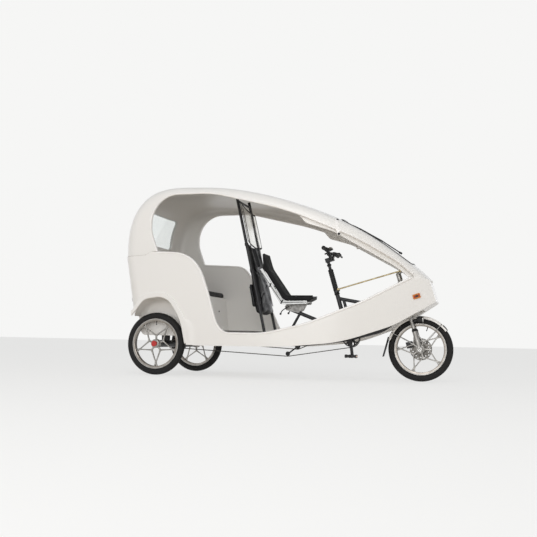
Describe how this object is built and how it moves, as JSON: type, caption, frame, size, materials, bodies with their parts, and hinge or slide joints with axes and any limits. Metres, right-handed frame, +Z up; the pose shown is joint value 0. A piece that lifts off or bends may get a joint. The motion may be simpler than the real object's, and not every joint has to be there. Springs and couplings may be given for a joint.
{
  "type": "cycle rickshaw",
  "caption": "Three-wheeled cycle rickshaw: moulded open tub and canopy, passenger bench with right-hand entry, reclined driver's seat, pedals and linked mast steering.",
  "frame": {"origin": "on the ground, in the middle of the overall length and width", "axes": "+X forward, +Y to the left, +Z up"},
  "size_m": [2.7091, 1.118, 1.6213],
  "materials": {
    "shell_white": "smooth off-white moulding",
    "glazing": "clear sheet",
    "soft_black": "black padded cover",
    "black_fabric": "black woven cloth",
    "mat_rubber": "ribbed mat",
    "black_steel": "satin black paint",
    "silver_metal": "cast, satin",
    "bright_steel": "bright steel",
    "zinc_yellow": "yellow zinc plate",
    "tyre_black": "road tread",
    "black_plastic": "matt",
    "red_plastic": "red cap",
    "lens": "reflector lens"
  },
  "bodies": {
    "chassis": {"tub": "shell_white", "rear_canopy": "shell_white", "front_arch": "shell_white", "windscreen": "glazing", "rear_window": "glazing", "bench": "shell_white", "bench_cushion": "soft_black", "bench_backrest": "soft_black", "floor_mat": "mat_rubber", "partition_posts": "black_steel", "partition_window": "glazing", "partition_bag": "black_fabric", "seat_rails": "silver_metal", "seat_pad": "black_fabric", "seat_slider": "bright_steel", "front_frame": "black_steel", "rear_axle": "black_steel", "rear_cog": "bright_steel", "chain": "bright_steel", "chain_tensioner": "black_steel", "canopy_latches": "silver_metal", "wiper": "black_plastic", "side_reflectors": "lens", "tail_lamps": "red_plastic"},
    "crank": {"crankset": "bright_steel"},
    "pedal_right_turn": {"pedal_right": "black_plastic"},
    "pedal_left_turn": {"pedal_left": "black_plastic"},
    "rear_wheel_right": {"rear_tyre_right": "tyre_black", "rear_rim_right": "silver_metal", "hub_cap_right": "red_plastic"},
    "rear_wheel_left": {"rear_tyre_left": "tyre_black", "rear_rim_left": "silver_metal", "hub_cap_left": "red_plastic"},
    "mast_turn": {"mast": "black_steel", "mast_sleeve": "black_plastic", "handlebar": "black_steel", "handlebar_grips": "black_plastic", "brake_levers": "black_plastic"},
    "link": {"steering_link": "zinc_yellow"},
    "fork_turn": {"fork": "silver_metal", "front_mudguard": "shell_white", "headlamp": "black_plastic", "brake_caliper": "black_plastic", "mudflap": "black_plastic"},
    "front_wheel": {"front_tyre": "tyre_black", "front_rim": "silver_metal", "front_brake_disc": "bright_steel"}
  },
  "joints": [
    {"name": "mast_steer", "type": "hinge", "parent": "chassis", "child": "mast_turn", "pos_m": [0.42435, 0, 0.62794], "axis": [-0.2807, 0, 0.9598], "range_deg": [-35, 35]},
    {"name": "fork_steer", "type": "hinge", "parent": "chassis", "child": "fork_turn", "pos_m": [0.98228, 0, 0.64392], "axis": [-0.2807, 0, 0.9598], "range_deg": [-35, 35]},
    {"name": "link_pivot", "type": "hinge", "parent": "mast_turn", "child": "link", "pos_m": [0.4215, -0.065, 0.74457], "axis": [-0.2807, 0, 0.9598], "range_deg": [-35, 35]},
    {"name": "front_wheel_spin", "type": "hinge", "parent": "fork_turn", "child": "front_wheel", "pos_m": [1.09455, 0, 0.26], "axis": [0, 1, 0], "continuous": true},
    {"name": "rear_wheel_right_spin", "type": "hinge", "parent": "chassis", "child": "rear_wheel_right", "pos_m": [-1.05245, -0.44, 0.26], "axis": [0, 1, 0], "continuous": true},
    {"name": "rear_wheel_left_spin", "type": "hinge", "parent": "chassis", "child": "rear_wheel_left", "pos_m": [-1.05245, 0.44, 0.26], "axis": [0, 1, 0], "continuous": true},
    {"name": "crank_spin", "type": "hinge", "parent": "chassis", "child": "crank", "pos_m": [0.53155, 0, 0.34], "axis": [0, 1, 0], "continuous": true},
    {"name": "pedal_right_spin", "type": "hinge", "parent": "crank", "child": "pedal_right_turn", "pos_m": [0.54983, -0.118, 0.19112], "axis": [0, 1, 0], "continuous": true},
    {"name": "pedal_left_spin", "type": "hinge", "parent": "crank", "child": "pedal_left_turn", "pos_m": [0.51327, 0.118, 0.48888], "axis": [0, 1, 0], "continuous": true}
  ],
  "couplings": [
    {"joint": "fork_steer", "follows": "mast_steer", "ratio": 1},
    {"joint": "link_pivot", "follows": "mast_steer", "ratio": -1}
  ]
}
